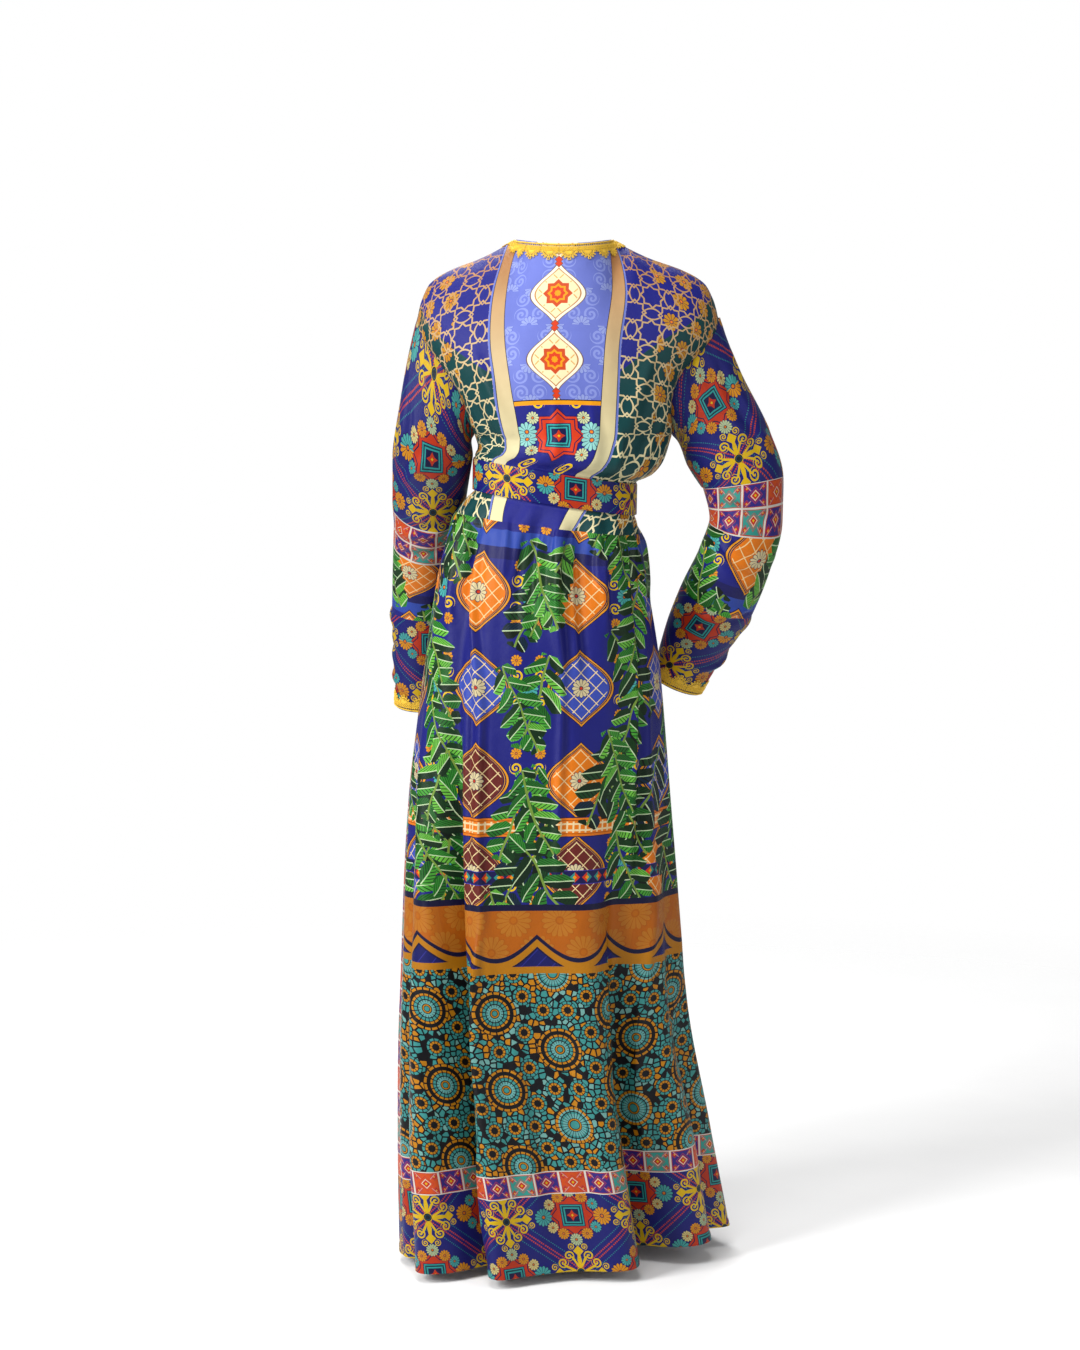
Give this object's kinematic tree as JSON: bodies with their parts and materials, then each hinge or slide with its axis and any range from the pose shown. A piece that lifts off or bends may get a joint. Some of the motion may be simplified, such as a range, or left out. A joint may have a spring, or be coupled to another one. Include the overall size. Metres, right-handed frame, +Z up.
{
  "type": "belted robe",
  "caption": "Long wrap robe in printed satin, worn and hollow, with a sash, long set-in sleeves and scalloped braid at the neck and cuffs.",
  "frame": {"origin": "the nape, at the middle of the neck opening where it rests on the wearer", "axes": "+Z up, the fronts face -Y and the wearer's left is +X"},
  "size_m": [0.5755, 0.4024, 1.4817],
  "materials": {
    "printed_satin": "polyester satin, digitally printed in royal blue, gold, orange, turquoise and green",
    "belt_satin": "the same satin, interfaced to a firm flat band",
    "yellow_braid": "crocheted viscose braid with a scalloped edge"
  },
  "bodies": {
    "root": {"back": "printed_satin", "front_left": "printed_satin", "front_right": "printed_satin", "sleeve_left": "printed_satin", "sleeve_right": "printed_satin", "neck_braid": "yellow_braid", "cuff_braid_left": "yellow_braid", "cuff_braid_right": "yellow_braid", "belt": "belt_satin"}
  },
  "joints": []
}
